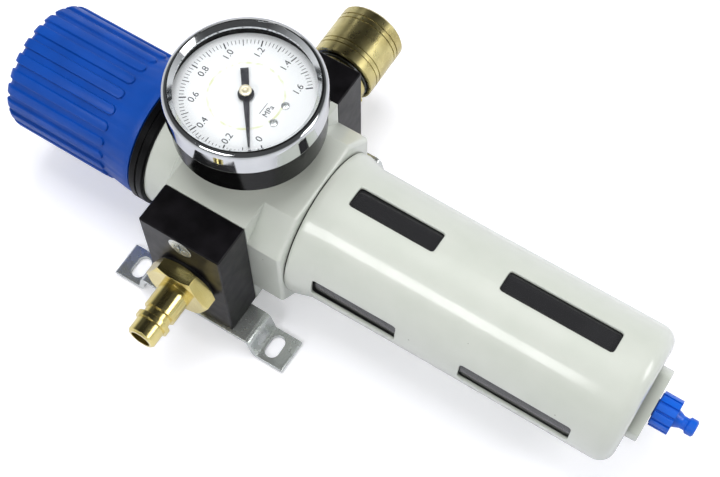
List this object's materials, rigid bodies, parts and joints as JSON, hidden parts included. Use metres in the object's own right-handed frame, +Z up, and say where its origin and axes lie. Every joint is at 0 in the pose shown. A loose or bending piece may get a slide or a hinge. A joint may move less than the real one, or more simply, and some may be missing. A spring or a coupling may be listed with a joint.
{
  "type": "pneumatic filter regulator",
  "caption": "Wall-mounted compressed-air filter regulator with a ribbed adjusting knob, pressure gauge, guarded bowl with drain, inlet plug and outlet quick coupling.",
  "frame": {"origin": "centre of the four wall slots, on the wall plane behind the bracket feet", "axes": "+Z up along the main axis towards the knob, -Y out to the front and the gauge, the air enters at -X and leaves at +X"},
  "size_m": [0.1445, 0.1002, 0.2595],
  "materials": {
    "enamel_body": "gloss enamel",
    "enamel_guard": "gloss enamel",
    "black_anodised_left": "gloss black",
    "black_anodised_right": "gloss black",
    "zinc_screws": "satin",
    "seal_rubber": "matte",
    "zinc_bracket": "zinc plated",
    "zinc_bracket_right": "zinc plated",
    "zinc_bracket_screws": "zinc plated",
    "brass_plug": "polished",
    "washer_left": "matte",
    "washer_right": "matte",
    "coupling_brass": "satin",
    "ball_steel": "polished",
    "sleeve_brass": "satin",
    "ring_steel": "satin",
    "sleeve_spring_steel": "satin",
    "coupling_valve_brass": "satin",
    "coupling_valve_spring_steel": "satin",
    "gauge_socket_brass": "satin",
    "gauge_case_black": "gloss black",
    "bezel_chrome": "polished",
    "window_clear": "clear",
    "dial_white": "white enamel",
    "movement_brass": "satin",
    "pointer_dark": "matte black",
    "tube_bronze": "satin",
    "plug_zinc": "zinc plated",
    "bonnet_black": "satin",
    "ring_black": "satin",
    "knob_blue": "satin",
    "screw_zinc": "zinc plated",
    "nut_brass": "satin",
    "diaphragm_rubber": "matte",
    "plate_zinc": "zinc plated",
    "spring_steel": "oiled",
    "seat_brass": "satin",
    "poppet_black": "satin",
    "holder_black": "satin",
    "valve_spring_steel": "satin",
    "filter_white": "sintered",
    "retainer_black": "satin",
    "bowl_smoky": "smoky polycarbonate",
    "bowl_seal_rubber": "matte",
    "drain_seal_rubber": "matte",
    "drain_blue": "satin"
  },
  "bodies": {
    "base": {"body_casting": "enamel_body", "inlet_plate": "black_anodised_left", "outlet_plate": "black_anodised_right", "plate_screws": "zinc_screws", "plate_seals": "seal_rubber", "inlet_bracket": "zinc_bracket", "outlet_bracket": "zinc_bracket_right", "bracket_screws": "zinc_bracket_screws", "inlet_nipple": "brass_plug", "inlet_washer": "washer_left", "outlet_washer": "washer_right", "coupling_body": "coupling_brass", "coupling_balls": "ball_steel", "coupling_ring": "ring_steel", "sleeve_spring": "sleeve_spring_steel", "coupling_valve_spring": "coupling_valve_spring_steel", "gauge_socket": "gauge_socket_brass", "gauge_case": "gauge_case_black", "gauge_bezel": "bezel_chrome", "gauge_window": "window_clear", "gauge_dial": "dial_white", "gauge_movement": "movement_brass", "bourdon_tube": "tube_bronze", "rear_plug": "plug_zinc", "bonnet": "bonnet_black", "bonnet_ring": "ring_black", "diaphragm": "diaphragm_rubber", "main_spring": "spring_steel", "valve_seat": "seat_brass", "filter_holder": "holder_black", "valve_spring": "valve_spring_steel", "filter_element": "filter_white", "filter_retainer": "retainer_black"},
    "sleeve": {"coupling_sleeve": "sleeve_brass"},
    "coupling_check": {"coupling_valve": "coupling_valve_brass"},
    "pointer": {"gauge_pointer": "pointer_dark"},
    "spindle": {"adjusting_screw": "screw_zinc"},
    "cap": {"knob": "knob_blue"},
    "nut": {"spring_nut": "nut_brass"},
    "valve": {"pressure_plate": "plate_zinc", "valve_poppet": "poppet_black"},
    "bowl_unit": {"bowl": "bowl_smoky", "bowl_seal": "bowl_seal_rubber", "bowl_guard": "enamel_guard"},
    "drain_knob": {"drain_seal": "drain_seal_rubber", "drain_screw": "drain_blue"}
  },
  "joints": [
    {"name": "knob_turn", "type": "hinge", "parent": "base", "child": "spindle", "pos_m": [0, -0.0374, 0.07], "axis": [0, 0, -1], "range_deg": [0, 1800]},
    {"name": "knob_lift", "type": "slide", "parent": "spindle", "child": "cap", "axis": [0, 0, 1], "range_m": [0, 0.004]},
    {"name": "nut_travel", "type": "slide", "parent": "base", "child": "nut", "axis": [0, 0, -1], "range_m": [0, 0.01], "deforming": ["main_spring"]},
    {"name": "valve_opening", "type": "slide", "parent": "base", "child": "valve", "axis": [0, 0, -1], "range_m": [0, 0.0012], "stiffness_N_per_m": 400, "deforming": ["diaphragm", "valve_spring"]},
    {"name": "pointer_turn", "type": "hinge", "parent": "base", "child": "pointer", "pos_m": [0, -0.0934, 0], "axis": [0, 1, 0], "range_deg": [0, 270]},
    {"name": "sleeve_pull", "type": "slide", "parent": "base", "child": "sleeve", "axis": [-1, 0, 0], "range_m": [0, 0.004], "stiffness_N_per_m": 1500, "springref_m": -0.004},
    {"name": "check_push", "type": "slide", "parent": "base", "child": "coupling_check", "axis": [-1, 0, 0], "range_m": [0, 0.003], "stiffness_N_per_m": 300, "springref_m": -0.003},
    {"name": "bowl_release", "type": "slide", "parent": "base", "child": "bowl_unit", "axis": [0, 0, -1], "range_m": [0, 0.14]},
    {"name": "drain_turn", "type": "hinge", "parent": "bowl_unit", "child": "drain_knob", "pos_m": [0, -0.0374, -0.15], "axis": [0, 0, -1], "range_deg": [0, 360]}
  ],
  "couplings": [
    {"joint": "nut_travel", "follows": "knob_turn", "m_per_rad": 0.00031831}
  ]
}
